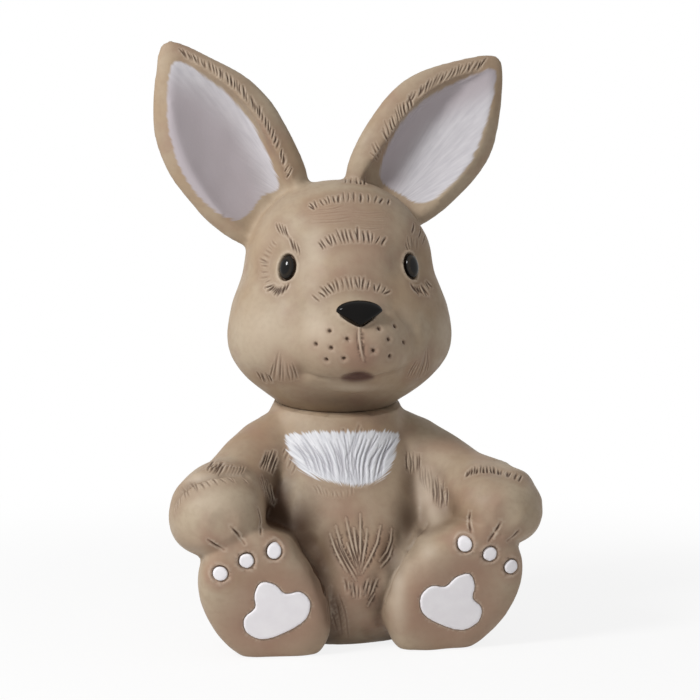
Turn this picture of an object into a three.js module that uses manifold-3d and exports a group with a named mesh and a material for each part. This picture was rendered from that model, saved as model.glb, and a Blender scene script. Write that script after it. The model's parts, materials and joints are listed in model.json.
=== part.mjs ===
// A seated hare figurine, hollow-moulded in soft vinyl, with a head that turns on its neck.
// Millimetres, +Z up, the face towards -Y, origin on the table under the middle of the neck.
// Left and right are the hare's own, so its left is at +X.
import * as THREE from 'three';
import { mergeVertices } from 'three/addons/utils/BufferGeometryUtils.js';
import Module from 'manifold-3d';

const { Vector2, Vector3, Matrix4, CatmullRomCurve3 } = THREE;
const wasm = await Module();
wasm.setup();

// Mouldings
const wall = 3.2;
const bondGap = 0.3;
const swivelGap = 0.35;

// Neck joint: a spool through the deck of the torso and the floor of the head
const neckHeight = 111;
const neckTilt = 9;
const deck = 4;
const plugRadius = 12;
const flangeRadius = 17;
const flangeThickness = 3;

// Torso, in even steps from under the base to inside the head: half width, reach to the front and back
const torsoBelow = 14;
const torsoAbove = 39;
const torsoFoot = { half: 36, front: 31, back: 36 };
const belly = { half: 54, front: 56, back: 47 };
const chest = { half: 50, front: 46, back: 43 };
const neck = { half: 30, front: 30, back: 30 };
const torsoBlunt = 4;

// Head, in even steps from inside the neck to the crown, and how far each step stands ahead of the neck
const headBelow = 11;
const headHeight = 105;
const throat = { ahead: 0, half: 34, front: 30, back: 30 };
const cheeks = { ahead: 8, half: 54, front: 38, back: 51 };
const face = { ahead: 9, half: 51.5, front: 34.5, back: 55 };
const brow = { ahead: 6, half: 47.5, front: 36, back: 51 };
const crown = { ahead: 3, half: 46, front: 37, back: 47 };
const headBlunt = 2.3;
const muzzle = { above: 31, half: 24, rise: 18, reach: 10 };
const temple = { above: 61.5, rise: 11, depth: 4.3 };

// Eyes and nose, at heights above the neck
const eye = { above: 65, turn: 42.4, half: 4.1, rise: 6, depth: 2.6, proud: 0.6 };
const eyeSocket = { depth: 2.5, spread: 13 };
const nose = { above: 44.7, half: 13, rise: 7.2, depth: 3.4, proud: 0.9 };
const noseMiddle = 0.8;
const noseTaper = 0.3;
const noseArch = 0.8;
const pegRadius = 1.6;
const pegLength = 6;

// Ears: the root under the crown, the tip above it, the leaf between them, the shallow cup that faces
// inward in it, and the deeper fold along the inner side of the cup
const earLeft = { rootOut: 11, rootDrop: 21, tipOut: 79.5, tipRise: 58.5, bow: 0 };
const earRight = { rootOut: 20, rootDrop: 30, tipOut: 81.5, tipRise: 64, bow: 2.4 };
const earTurn = 4;
const cupTurn = 18;
const earFoot = { half: 28, front: 11, back: 13 };
const earLower = { half: 29, front: 10, back: 13 };
const earUpper = { half: 28, front: 9, back: 10 };
const earTop = { half: 13, front: 6, back: 6 };
const earBlunt = 2.2;
const earInnerRim = 13;
const earOuterRim = 3.6;
const earWall = 11;
const earCup = 6;
const foldShare = 0.55;
const foldDepth = 1.5;

// Arms, from inside the torso to the end of the paw
const shoulder = { out: 6, ahead: 2, height: 96, radius: 18 };
const upperArm = { out: 33, ahead: 6, height: 88, radius: 17.5 };
const wrist = { out: 54, ahead: 27, height: 73.5, radius: 17 };
const paw = { out: 65.5, ahead: 46, height: 64.5, radius: 23 };
const pawEnd = { out: 67.5, ahead: 52, height: 47, radius: 22 };
const armBlunt = 3;

// Legs, from inside the torso to the sole
const hip = { out: 24, ahead: -14, height: 33, half: 25, rise: 27 };
const thigh = { out: 37, ahead: 12, height: 32, half: 29, rise: 21 };
const ankle = { out: 43, ahead: 38, height: 30, half: 27.5, rise: 33.5 };
const sole = { out: 44.2, ahead: 62, height: 24.2, half: 29, rise: 40.2 };
const legBlunt = 6.5;
const footTiltLeft = 40;
const footTiltRight = 35;

// Pads set into the soles
const padDepth = 1.4;
const padProud = 0.5;
const solePad = { across: -1, up: -3.4, half: 16, top: 16.2, foot: 11.2, tilt: 25 };
const toePad = { radius: 3.35, up: 25.6, spacing: 13, across: 1.4, droop: 1.2, turn: 13 };

// Tail
const tail = { height: 24, radius: 14, reach: 17 };

// Facets round and along each form, the share of them that its lining has, and the facets of small rounds
const torsoFacets = { sides: 40, rows: 24 };
const headFacets = { sides: 48, rows: 32 };
const earFacets = { sides: 30, rows: 32 };
const armFacets = { sides: 26, rows: 20 };
const legFacets = { sides: 28, rows: 18 };
const liningShare = 0.5;
const boreFacets = 32;
const pegFacets = 8;

const vinyl = new THREE.MeshStandardMaterial({ color: 0x9a8672, roughness: 0.7, metalness: 0 });
const paint = new THREE.MeshStandardMaterial({ color: 0xdcd9dc, roughness: 0.7, metalness: 0 });
const gloss = new THREE.MeshStandardMaterial({ color: 0x14100e, roughness: 0.15, metalness: 0 });
const plastic = new THREE.MeshStandardMaterial({ color: 0xcfc9bd, roughness: 0.5, metalness: 0 });

// A closed rounded body swept along a curve of stations. Each station gives a point of the curve and
// how far the skin stands off it, to both sides, ahead and behind.
class Form {
  constructor(stations, { ahead, blunt, facets, onward, swell }) {
    const girths = stations.map((s) => new Vector3(s.half, s.front, s.back));
    this.spine = new CatmullRomCurve3(stations.map((s) => s.centre), false, 'catmullrom', 0.5);
    this.girth = new CatmullRomCurve3(girths, false, 'catmullrom', 0.5);
    this.ahead = ahead;
    this.blunt = blunt;
    this.facets = facets;
    this.onward = onward;
    this.swell = swell;
  }

  // Axes at a share of the way along: to the side, behind and onward.
  axes(along) {
    const onward = this.onward ?? this.spine.getTangent(along);
    const behind = this.ahead.clone().addScaledVector(onward, -this.ahead.dot(onward)).normalize().negate();
    const side = behind.clone().cross(onward);
    return { side, behind, onward };
  }

  // Point of the skin, grown outward or inward by a distance.
  point(along, around, grow = 0) {
    const { side, behind, onward } = this.axes(along);
    const girth = this.girth.getPoint(along);
    const end = 2 * along - 1;
    const rest = Math.max(0, 1 - Math.abs(end) ** this.blunt);
    const round = rest ** (1 / this.blunt);
    const reach = Math.sin(around) < 0 ? girth.y : girth.z;
    const radius = Math.hypot(girth.x * Math.cos(around), reach * Math.sin(around));
    const lengthwise = Math.sign(end) * Math.abs(end) ** (this.blunt - 1) / (this.spine.getLength() / 2);
    const outward = round ** (this.blunt - 1) / radius;
    const slope = Math.hypot(lengthwise, outward);
    const stretch = round + (grow * outward) / slope / radius;
    const place = this.spine.getPoint(along);
    place.addScaledVector(side, girth.x * Math.cos(around) * stretch);
    place.addScaledVector(behind, reach * Math.sin(around) * stretch);
    place.addScaledVector(onward, (grow * lengthwise) / slope);
    if (this.swell) {
      this.swell(place);
    }
    return place;
  }

  // Share of the way along at a height, for an upright spine.
  alongAt(height) {
    const low = this.spine.points[0].z;
    const high = this.spine.points[this.spine.points.length - 1].z;
    return (height - low) / (high - low);
  }

  // Frame on the skin: origin there, Z outward, Y as near upright as the skin allows.
  frameAt(along, around) {
    const origin = this.point(along, around);
    const rising = this.point(along + 0.01, around).sub(this.point(along - 0.01, around));
    const turning = this.point(along, around + 0.02).sub(this.point(along, around - 0.02));
    const outward = turning.clone().cross(rising).normalize();
    const across = rising.clone().cross(outward).normalize();
    const upright = outward.clone().cross(across);
    return new Matrix4().makeBasis(across, upright, outward).setPosition(origin);
  }

  geometry(grow, share) {
    const ball = new THREE.SphereGeometry(1, share * this.facets.sides, share * this.facets.rows);
    const turns = ball.getAttribute('uv');
    const places = ball.getAttribute('position');
    for (let i = 0; i < turns.count; i += 1) {
      const level = Math.cos(Math.PI * (1 - turns.getY(i)));
      const end = Math.sign(level) * Math.abs(level) ** (2 / this.blunt);
      const place = this.point((1 + end) / 2, 2 * Math.PI * turns.getX(i), grow);
      places.setXYZ(i, place.x, place.y, place.z);
    }
    return ball;
  }

  solid(grow = 0) {
    return solidOf(this.geometry(grow, 1));
  }

  // The coarser form that hollows a moulding out to its wall.
  lining() {
    return solidOf(this.geometry(-wall, liningShare));
  }
}

function solidOf(geometry) {
  geometry.deleteAttribute('normal');
  geometry.deleteAttribute('uv');
  const merged = mergeVertices(geometry, 1e-4);
  const vertProperties = Float32Array.from(merged.getAttribute('position').array);
  const triVerts = Uint32Array.from(merged.index.array);
  return new wasm.Manifold(new wasm.Mesh({ numProp: 3, vertProperties, triVerts }));
}

function meshOf(name, solid, material) {
  const { numProp, vertProperties, triVerts } = solid.getMesh();
  const places = new Float32Array((vertProperties.length / numProp) * 3);
  for (let i = 0; i < places.length / 3; i += 1) {
    places.set(vertProperties.subarray(i * numProp, i * numProp + 3), i * 3);
  }
  const geometry = new THREE.BufferGeometry();
  geometry.setAttribute('position', new THREE.BufferAttribute(places, 3));
  geometry.setIndex(new THREE.BufferAttribute(Uint32Array.from(triVerts), 1));
  geometry.computeVertexNormals();
  const mesh = new THREE.Mesh(geometry, material);
  mesh.name = name;
  return mesh;
}

const radians = THREE.MathUtils.degToRad;
const front = new Vector3(0, -1, 0);
const up = new Vector3(0, 0, 1);

const crownHeight = neckHeight + headHeight;

// An upright form whose sections stand at even steps between two heights.
function uprightForm(sections, low, high, shape) {
  const stations = sections.map(({ ahead = 0, half, front: reach, back }, i) => {
    const height = low + ((high - low) * i) / (sections.length - 1);
    return { centre: new Vector3(0, -ahead, height), half, front: reach, back };
  });
  return new Form(stations, { ahead: front, onward: up, ...shape });
}

const torsoSections = [torsoFoot, belly, chest, neck, neck];
const torsoShape = { blunt: torsoBlunt, facets: torsoFacets };
const torsoForm = uprightForm(torsoSections, -torsoBelow, neckHeight + torsoAbove, torsoShape);
const headSections = [throat, cheeks, face, brow, crown];
const headShape = { blunt: headBlunt, facets: headFacets, swell: shapeFace };
const headForm = uprightForm(headSections, neckHeight - headBelow, crownHeight, headShape);

// The muzzle stands out of the face, the temples are drawn in and each eye lies in a shallow hollow.
function shapeFace(place) {
  const across = place.x / muzzle.half;
  const rise = (place.z - neckHeight - muzzle.above) / muzzle.rise;
  const forward = THREE.MathUtils.smoothstep(-place.y, 0, face.front);
  const turn = radians(eye.turn);
  const beside = Math.abs(place.x) - face.half * Math.sin(turn);
  const away = Math.hypot(beside, place.z - neckHeight - eye.above) / eyeSocket.spread;
  const dent = eyeSocket.depth * forward * Math.exp(-away * away);
  const level = (place.z - neckHeight - temple.above) / temple.rise;
  const sideways = (place.x / face.half) ** 4;
  const pinch = temple.depth * sideways * Math.exp(-level * level);
  place.y -= muzzle.reach * forward * Math.exp(-across * across - rise * rise);
  place.x -= Math.sign(place.x) * (dent * Math.sin(turn) + pinch);
  place.y += dent * Math.cos(turn);
}

// Everything under a level, or above or below the tilted seat of the head
const roomy = 400;
function under(height) {
  return solidOf(new THREE.BoxGeometry(roomy, roomy, roomy).translate(0, 0, height - roomy / 2));
}

function seatTilted(geometry) {
  return geometry.rotateX(radians(neckTilt)).translate(0, 0, neckHeight);
}

function aboveSeat(offset) {
  const room = new THREE.BoxGeometry(roomy, roomy, roomy).translate(0, 0, offset + roomy / 2);
  return solidOf(seatTilted(room));
}

function belowSeat(offset) {
  const room = new THREE.BoxGeometry(roomy, roomy, roomy).translate(0, 0, offset - roomy / 2);
  return solidOf(seatTilted(room));
}

function seatBore(radius) {
  const bore = new THREE.CylinderGeometry(radius, radius, 6 * deck, boreFacets).rotateX(Math.PI / 2);
  return solidOf(seatTilted(bore));
}

function buildTorso() {
  const cavity = torsoForm.lining().subtract(under(wall)).subtract(aboveSeat(-deck));
  return torsoForm.solid().subtract(cavity).subtract(aboveSeat(0)).subtract(under(0))
    .subtract(seatBore(plugRadius + swivelGap));
}

function buildPlug() {
  const floorTop = swivelGap + deck + bondGap;
  const profile = [
    new Vector2(0, -deck - swivelGap - flangeThickness),
    new Vector2(flangeRadius, -deck - swivelGap - flangeThickness),
    new Vector2(flangeRadius, -deck - swivelGap),
    new Vector2(plugRadius, -deck - swivelGap),
    new Vector2(plugRadius, floorTop),
    new Vector2(flangeRadius, floorTop),
    new Vector2(flangeRadius, floorTop + flangeThickness),
    new Vector2(0, floorTop + flangeThickness),
  ];
  return solidOf(seatTilted(new THREE.LatheGeometry(profile, boreFacets).rotateX(Math.PI / 2)));
}

function pegged(dome, grow) {
  const peg = new THREE.CylinderGeometry(pegRadius + grow, pegRadius + grow, pegLength, pegFacets);
  peg.rotateX(Math.PI / 2).translate(0, 0, -pegLength / 2);
  return solidOf(dome).add(solidOf(peg));
}

function buildEye(side, grow = 0) {
  const dome = new THREE.SphereGeometry(1, 16, 8).rotateX(Math.PI / 2);
  dome.scale(eye.half + grow, eye.rise + grow, eye.depth + grow).translate(0, 0, eye.proud);
  const around = -Math.PI / 2 + side * radians(eye.turn);
  return placed(pegged(dome, grow), headForm.frameAt(headForm.alongAt(neckHeight + eye.above), around));
}

function buildNose(grow = 0) {
  const dome = new THREE.SphereGeometry(1, 20, 10).rotateX(Math.PI / 2);
  const places = dome.getAttribute('position');
  for (let i = 0; i < places.count; i += 1) {
    const rise = places.getY(i);
    const spread = noseMiddle + noseTaper * rise;
    places.setX(i, places.getX(i) * spread);
    places.setY(i, rise > 0 ? noseArch * rise : rise);
  }
  dome.scale(nose.half + grow, nose.rise + grow, nose.depth + grow).translate(0, 0, nose.proud);
  const frame = headForm.frameAt(headForm.alongAt(neckHeight + nose.above), -Math.PI / 2);
  return placed(pegged(dome, grow), frame);
}

function placed(solid, matrix) {
  return solid.transform(matrix.elements);
}

function buildHead() {
  const cavity = headForm.lining().subtract(belowSeat(swivelGap + deck));
  return headForm.solid().subtract(cavity).subtract(belowSeat(swivelGap))
    .subtract(seatBore(plugRadius + bondGap))
    .subtract(buildEye(1, bondGap)).subtract(buildEye(-1, bondGap)).subtract(buildNose(bondGap));
}

function turnedFront(degrees) {
  return new Vector3(Math.sin(radians(degrees)), -Math.cos(radians(degrees)), 0);
}

function buildEar(side, ear) {
  const root = new Vector3(side * ear.rootOut, 0, crownHeight - ear.rootDrop);
  const tip = new Vector3(side * ear.tipOut, 0, crownHeight + ear.tipRise);
  const outward = new Vector3(side * (tip.z - root.z), 0, ear.rootOut - ear.tipOut).normalize();
  const station = (share, leaf) => {
    const centre = root.clone().lerp(tip, share);
    centre.addScaledVector(outward, 4 * ear.bow * share * (1 - share));
    return { centre, half: leaf.half, front: leaf.front, back: leaf.back };
  };
  const leaves = [earFoot, earLower, earUpper, earTop];
  const facing = turnedFront(side * earTurn);
  const cupFacing = turnedFront(side * (earTurn - cupTurn));
  const stations = leaves.map((leaf, i) => station(i / (leaves.length - 1), leaf));
  const leaf = new Form(stations, { ahead: facing, blunt: earBlunt, facets: earFacets });
  const aside = (earInnerRim - earOuterRim) / 2;
  const hollows = stations.map((s) => ({
    centre: s.centre.clone().addScaledVector(cupFacing, earCup).addScaledVector(outward, aside),
    half: s.half - (earInnerRim + earOuterRim) / 2,
    front: s.front + earCup,
    back: s.back - earWall + earCup,
  }));
  const folds = hollows.map((s) => ({
    centre: s.centre.clone().addScaledVector(outward, (foldShare - 1) * s.half),
    half: foldShare * s.half,
    front: s.front,
    back: s.back + foldDepth,
  }));
  const cupShape = { ahead: cupFacing, blunt: earBlunt, facets: earFacets };
  const cup = new Form(hollows, cupShape).solid().add(new Form(folds, cupShape).solid());
  return leaf.solid().subtract(cup).subtract(headForm.solid(bondGap));
}

function limbStation(side, s, half, rise) {
  return { centre: new Vector3(side * s.out, -s.ahead, s.height), half, front: rise, back: rise };
}

function footTilt(side) {
  return radians(side > 0 ? footTiltLeft : footTiltRight);
}

function legForm(side) {
  const tilt = footTilt(side);
  const toeward = new Vector3(side * Math.sin(tilt), 0, Math.cos(tilt));
  const stations = [hip, thigh, ankle, sole].map((s) => limbStation(side, s, s.half, s.rise));
  return new Form(stations, { ahead: toeward, blunt: legBlunt, facets: legFacets });
}

function armForm(side) {
  const joints = [shoulder, upperArm, wrist, paw, pawEnd];
  const stations = joints.map((s) => limbStation(side, s, s.radius, s.radius));
  return new Form(stations, { ahead: front, blunt: armBlunt, facets: armFacets });
}

// Frame of a sole: origin at its middle, Z out of the sole, Y towards the toes, X away from the other foot.
function soleFrame(side) {
  const form = legForm(side);
  const { behind, onward } = form.axes(1);
  const toeward = behind.clone().negate();
  const across = toeward.clone().cross(onward);
  return new Matrix4().makeBasis(across, toeward, onward).setPosition(form.spine.getPoint(1));
}

// Outline of the three-lobed pad, grown by a clearance.
function solePadOutline(grow) {
  const points = [
    new Vector2(0, solePad.top + grow),
    new Vector2(0.33 * solePad.half + grow, 0.74 * solePad.top),
    new Vector2(0.46 * solePad.half + grow, 0.38 * solePad.top + grow),
    new Vector2(0.86 * solePad.half + grow, 0.24 * solePad.top + grow),
    new Vector2(solePad.half + grow, -0.22 * solePad.foot),
    new Vector2(0.7 * solePad.half + grow, -0.84 * solePad.foot - grow),
    new Vector2(0, -solePad.foot - grow),
  ];
  const mirrored = points.slice(1, -1).reverse().map((p) => new Vector2(-p.x, p.y));
  const loop = [...points, ...mirrored].map((p) => new Vector3(p.x, p.y, 0));
  const curve = new CatmullRomCurve3(loop, true, 'centripetal');
  return new THREE.Shape(curve.getPoints(36).slice(0, 36).reverse().map((p) => new Vector2(p.x, p.y)));
}

function padColumn(side, shape, across, up, turn) {
  const inward = 3 * wall;
  const depth = inward + 2 * wall;
  const column = new THREE.ExtrudeGeometry(shape, { depth, bevelEnabled: false, curveSegments: 8 });
  column.rotateZ(turn).translate(side * across, up, -inward).applyMatrix4(soleFrame(side));
  return solidOf(column);
}

function solePadColumn(side, grow) {
  const turn = side * (footTilt(side) - radians(solePad.tilt));
  return padColumn(side, solePadOutline(grow), solePad.across, solePad.up, turn);
}

function toePadColumn(side, index, grow) {
  const disc = new THREE.Shape().absarc(0, 0, toePad.radius + grow, 0, 2 * Math.PI);
  const offset = index - 2;
  const across = toePad.across + offset * toePad.spacing;
  const place = new Vector2(across, toePad.up - toePad.droop * offset * offset);
  place.rotateAround(new Vector2(), radians(toePad.turn));
  return padColumn(side, disc, place.x, place.y, 0);
}

function buildLeg(side) {
  const form = legForm(side);
  const bed = form.solid(-padDepth - bondGap);
  const pockets = [solePadColumn(side, bondGap), ...[1, 2, 3].map((i) => toePadColumn(side, i, bondGap))];
  let leg = form.solid().subtract(form.lining()).subtract(under(0));
  leg = leg.subtract(torsoForm.solid(bondGap));
  for (const pocket of pockets) {
    leg = leg.subtract(pocket.subtract(bed));
  }
  return leg;
}

function buildPad(side, column) {
  const form = legForm(side);
  return column.intersect(form.solid(padProud)).subtract(form.solid(-padDepth));
}

function buildArm(side) {
  const form = armForm(side);
  return form.solid().subtract(form.lining()).subtract(torsoForm.solid(bondGap))
    .subtract(legForm(side).solid(bondGap));
}

function buildTail() {
  const at = torsoForm.point(torsoForm.alongAt(tail.height), Math.PI / 2);
  const ball = new THREE.SphereGeometry(tail.radius, 16, 10);
  ball.translate(0, at.y + tail.reach - tail.radius, tail.height);
  return solidOf(ball).subtract(torsoForm.solid(bondGap));
}

const hare = new THREE.Group();
hare.name = 'hare';
const body = new THREE.Group();
body.name = 'body';
const head = new THREE.Group();
head.name = 'head';
hare.add(body, head);

body.add(meshOf('torso_shell', buildTorso(), vinyl));
body.add(meshOf('tail', buildTail(), vinyl));
head.add(meshOf('head_shell', buildHead(), vinyl));
head.add(meshOf('neck_plug', buildPlug(), plastic));
head.add(meshOf('nose', buildNose(), gloss));
head.add(meshOf('ear_left', buildEar(1, earLeft), vinyl));
head.add(meshOf('ear_right', buildEar(-1, earRight), vinyl));
for (const [side, word] of [[1, 'left'], [-1, 'right']]) {
  head.add(meshOf(`eye_${word}`, buildEye(side), gloss));
  body.add(meshOf(`arm_${word}`, buildArm(side), vinyl));
  body.add(meshOf(`leg_${word}`, buildLeg(side), vinyl));
  body.add(meshOf(`sole_pad_${word}`, buildPad(side, solePadColumn(side, 0)), paint));
  for (const index of [1, 2, 3]) {
    body.add(meshOf(`toe_pad_${word}_${index}`, buildPad(side, toePadColumn(side, index, 0)), paint));
  }
}

export default hare;
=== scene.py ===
# A seated hare figurine in hand-painted soft vinyl: matte taupe skins with tooled fur marks, white paint
# in the ears and on the chest, glossy eyes and nose, and white pads let into the soles.
import json
import math
import random
from collections import namedtuple

import bmesh
import bpy
import numpy as np
from mathutils import Matrix, Vector, noise
from mathutils.bvhtree import BVHTree
from mathutils.kdtree import KDTree


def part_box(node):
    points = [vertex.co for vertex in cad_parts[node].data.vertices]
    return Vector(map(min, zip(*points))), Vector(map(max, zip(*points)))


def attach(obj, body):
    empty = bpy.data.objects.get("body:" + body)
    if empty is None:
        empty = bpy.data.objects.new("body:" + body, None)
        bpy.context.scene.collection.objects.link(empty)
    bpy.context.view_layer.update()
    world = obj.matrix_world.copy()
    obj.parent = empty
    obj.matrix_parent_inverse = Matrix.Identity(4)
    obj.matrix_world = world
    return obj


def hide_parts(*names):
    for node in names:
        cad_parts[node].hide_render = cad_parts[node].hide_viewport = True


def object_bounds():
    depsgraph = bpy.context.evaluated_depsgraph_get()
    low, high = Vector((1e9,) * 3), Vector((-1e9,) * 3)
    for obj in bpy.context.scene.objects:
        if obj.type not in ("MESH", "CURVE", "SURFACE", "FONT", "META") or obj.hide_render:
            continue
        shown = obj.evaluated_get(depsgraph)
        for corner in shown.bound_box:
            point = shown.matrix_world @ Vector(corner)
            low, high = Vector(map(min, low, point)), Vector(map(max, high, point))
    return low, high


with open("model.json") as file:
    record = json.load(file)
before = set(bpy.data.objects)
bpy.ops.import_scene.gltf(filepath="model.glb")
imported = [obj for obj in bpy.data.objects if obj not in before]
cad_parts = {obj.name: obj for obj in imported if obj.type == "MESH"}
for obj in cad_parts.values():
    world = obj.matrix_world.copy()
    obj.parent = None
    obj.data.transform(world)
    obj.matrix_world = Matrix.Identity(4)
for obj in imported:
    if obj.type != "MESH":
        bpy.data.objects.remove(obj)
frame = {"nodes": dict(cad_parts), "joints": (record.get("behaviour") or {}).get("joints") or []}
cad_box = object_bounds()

mm = 0.001
dice = random.Random(7)
SIDES = ("left", "right")
TOES = (1, 2, 3)
BODY_SHELLS = ["torso_shell", "tail", *[f"{limb}_{side}" for limb in ("arm", "leg") for side in SIDES]]
HEAD_SHELLS = ["head_shell", "ear_left", "ear_right"]

# Camera, as it stood for the photograph
IMAGE_PIXELS = 700
PIXELS_PER_METRE = 2097.0
CAMERA_TURN = math.radians(-12.5)
CAMERA_RISE = math.radians(4.5)
CAMERA_AWAY = 1.1
TARGET_ASIDE = 6.4 * mm
TARGET_HEIGHT = 135.2 * mm
SENSOR = 36.0

camera_right = Vector((math.cos(CAMERA_TURN), math.sin(CAMERA_TURN), 0))
camera_back = Vector((math.sin(CAMERA_TURN) * math.cos(CAMERA_RISE),
                      -math.cos(CAMERA_TURN) * math.cos(CAMERA_RISE),
                      math.sin(CAMERA_RISE)))
camera_up = camera_back.cross(camera_right)
camera_target = camera_right * TARGET_ASIDE + Vector((0, 0, TARGET_HEIGHT))
camera_place = camera_target + camera_back * CAMERA_AWAY
RIGHT, UP, BACK = (np.array(axis) for axis in (camera_right, camera_up, camera_back))


def add_camera():
    data = bpy.data.cameras.new("camera")
    data.sensor_width = SENSOR
    data.lens = SENSOR * CAMERA_AWAY * PIXELS_PER_METRE / IMAGE_PIXELS
    camera = bpy.data.objects.new("camera", data)
    axes = Matrix((camera_right, camera_up, camera_back)).transposed().to_4x4()
    camera.matrix_world = Matrix.Translation(camera_place) @ axes
    bpy.context.scene.collection.objects.link(camera)
    bpy.context.scene.camera = camera


# Meshes

def link(name, mesh):
    piece = bpy.data.objects.new(name, mesh)
    bpy.context.scene.collection.objects.link(piece)
    return piece


def piece_of(name, form):
    mesh = bpy.data.meshes.new(name)
    form.to_mesh(mesh)
    form.free()
    return link(name, mesh)


def form_of(piece):
    form = bmesh.new()
    form.from_mesh(piece.data)
    return form


def put_back(form, piece):
    form.to_mesh(piece.data)
    form.free()


def applied(piece, kind, **settings):
    modifier = piece.modifiers.new(kind, kind)
    for key, value in settings.items():
        setattr(modifier, key, value)
    shaped = piece.evaluated_get(bpy.context.evaluated_depsgraph_get())
    mesh = bpy.data.meshes.new_from_object(shaped)
    piece.modifiers.clear()
    flat = piece.data
    piece.data = mesh
    bpy.data.meshes.remove(flat)


def cad_copy(form, node, shift=Vector()):
    """Adds a merged copy of a CAD node to a form, moved by a little."""
    copy = bmesh.new()
    copy.from_mesh(frame["nodes"][node].data)
    bmesh.ops.remove_doubles(copy, verts=copy.verts, dist=0.001 * mm)
    bmesh.ops.translate(copy, vec=shift, verts=copy.verts)
    mesh = bpy.data.meshes.new(node)
    copy.to_mesh(mesh)
    copy.free()
    form.from_mesh(mesh)
    bpy.data.meshes.remove(mesh)


def places_of(piece, kind="co"):
    places = np.empty(len(piece.data.vertices) * 3)
    piece.data.vertices.foreach_get(kind, places)
    return places.reshape(-1, 3)


def normals_of(piece):
    return places_of(piece, "normal")


def move_to(piece, places):
    piece.data.vertices.foreach_set("co", places.ravel())
    piece.data.update()


def tree_of(piece):
    form = form_of(piece)
    tree = BVHTree.FromBMesh(form)
    form.free()
    return tree


def write_attribute(piece, name, values):
    kind = "FLOAT_VECTOR" if values.ndim == 2 else "FLOAT"
    attribute = piece.data.attributes.new(name, kind, "POINT")
    attribute.data.foreach_set("vector" if values.ndim == 2 else "value", values.astype(np.float32).ravel())


# The seat of the head on the neck, and the plug that holds it there

swivel = frame["joints"][0]
seat_place = Vector(swivel["pos_m"])
seat_axis = Vector(swivel["axis"]).normalized()
SEAT_GAP = 0.35 * mm
SEAT_FLAT = 0.05 * mm
SEAT_SPARE = 9 * mm
BORE_SIDES = 32
BORE_COVER = 16 * mm
BORE_OVERLAP = 3 * mm
PLUG_ROOM = 0.5 * mm


def keep_to_seat(piece, offset, side):
    """Presses a skin back to its own side of the seat, so that the head turns free of the body."""
    places = places_of(piece)
    height = (places - np.array(seat_place)) @ np.array(seat_axis) - offset
    move_to(piece, places + np.array(seat_axis) * (side * np.maximum(0, -side * height))[:, None])


# Places on a skin, aimed at through a pixel of the photograph or square on to the back

def photo_aim(pixel):
    aside = (pixel[0] - IMAGE_PIXELS / 2) / PIXELS_PER_METRE
    rise = (IMAGE_PIXELS / 2 - pixel[1]) / PIXELS_PER_METRE
    point = camera_target + camera_right * aside + camera_up * rise
    return camera_place, (point - camera_place).normalized()


def back_aim(point):
    return Vector((point[0] * mm, 1, point[1] * mm)), Vector((0, -1, 0))


def on_skin(tree, aim, point):
    start, direction = aim(point)
    return tree.ray_cast(start, direction)[0]


def to_pixels(places):
    """Pixels of the photograph at which places stand."""
    away = places - np.array(camera_place)
    zoom = CAMERA_AWAY * PIXELS_PER_METRE / -(away @ BACK)
    x = IMAGE_PIXELS / 2 + away @ RIGHT * zoom
    y = IMAGE_PIXELS / 2 - away @ UP * zoom
    return np.stack([x, y], axis=1)


# Skins: mouldings grown into one closed skin, with their joints filled and softened

HEAD_FACE = 1.35 * mm
BODY_FACE = 1.6 * mm
BOND_FILL = 0.4 * mm
SKIN_EASE = 0.15 * mm
SOFTENING = 13
CROOK_ENDS = ((425, 464), (452, 514))
CROOK_BALLS = 16
CROOK_REACH = 1.25
CROOK_RADIUS = 9 * mm
CROOK_SHIFT = 6 * mm
INLAY_SINK = 2.2 * mm
PAD_SINK = 0.7 * mm


def lengthen_at_seat(form, offset, onward):
    """Runs a moulding on past its seat and closes the bore there; the seat is cut clean later."""
    level = seat_place + seat_axis * offset
    rim = [f for f in form.faces if abs((f.calc_center_median() - level).dot(seat_axis)) < SEAT_FLAT]
    grown = bmesh.ops.extrude_face_region(form, geom=rim)["geom"]
    ends = [v for v in grown if isinstance(v, bmesh.types.BMVert)]
    bmesh.ops.translate(form, vec=seat_axis * onward, verts=ends)
    bmesh.ops.delete(form, geom=rim, context="FACES")
    middle = level + seat_axis * (onward - math.copysign(BORE_OVERLAP, onward)) / 2
    turn = seat_axis.to_track_quat("Z", "Y").to_matrix().to_4x4()
    bmesh.ops.create_cone(form, cap_ends=True, segments=BORE_SIDES, radius1=BORE_COVER, radius2=BORE_COVER,
                          depth=abs(onward) + BORE_OVERLAP, matrix=Matrix.Translation(middle) @ turn)


def keep_outer_shell(form):
    shells = []
    left = set(form.verts)
    while left:
        edge = [left.pop()]
        shell = set(edge)
        while edge:
            fresh = {e.other_vert(v) for v in edge for e in v.link_edges} - shell
            shell |= fresh
            edge = list(fresh)
        left -= shell
        shells.append(shell)
    outer = max(shells, key=len)
    bmesh.ops.delete(form, geom=[v for v in form.verts if v not in outer], context="VERTS")


def grown_skin(name, form, face):
    piece = piece_of(name, form)
    applied(piece, "DISPLACE", strength=BOND_FILL, mid_level=0)
    applied(piece, "REMESH", mode="VOXEL", voxel_size=face)
    form = form_of(piece)
    keep_outer_shell(form)
    put_back(form, piece)
    applied(piece, "SMOOTH", factor=0.5, iterations=SOFTENING)
    applied(piece, "DISPLACE", strength=-SKIN_EASE, mid_level=0)
    return piece


def cut_flat(piece, place, axis):
    """Takes off what stands beyond a plane and closes the cut."""
    form = form_of(piece)
    geometry = form.verts[:] + form.edges[:] + form.faces[:]
    cut = bmesh.ops.bisect_plane(form, geom=geometry, plane_co=place, plane_no=axis, clear_outer=True)
    rim = [e for e in cut["geom_cut"] if isinstance(e, bmesh.types.BMEdge)]
    bmesh.ops.holes_fill(form, edges=rim, sides=0)
    put_back(form, piece)


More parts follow.
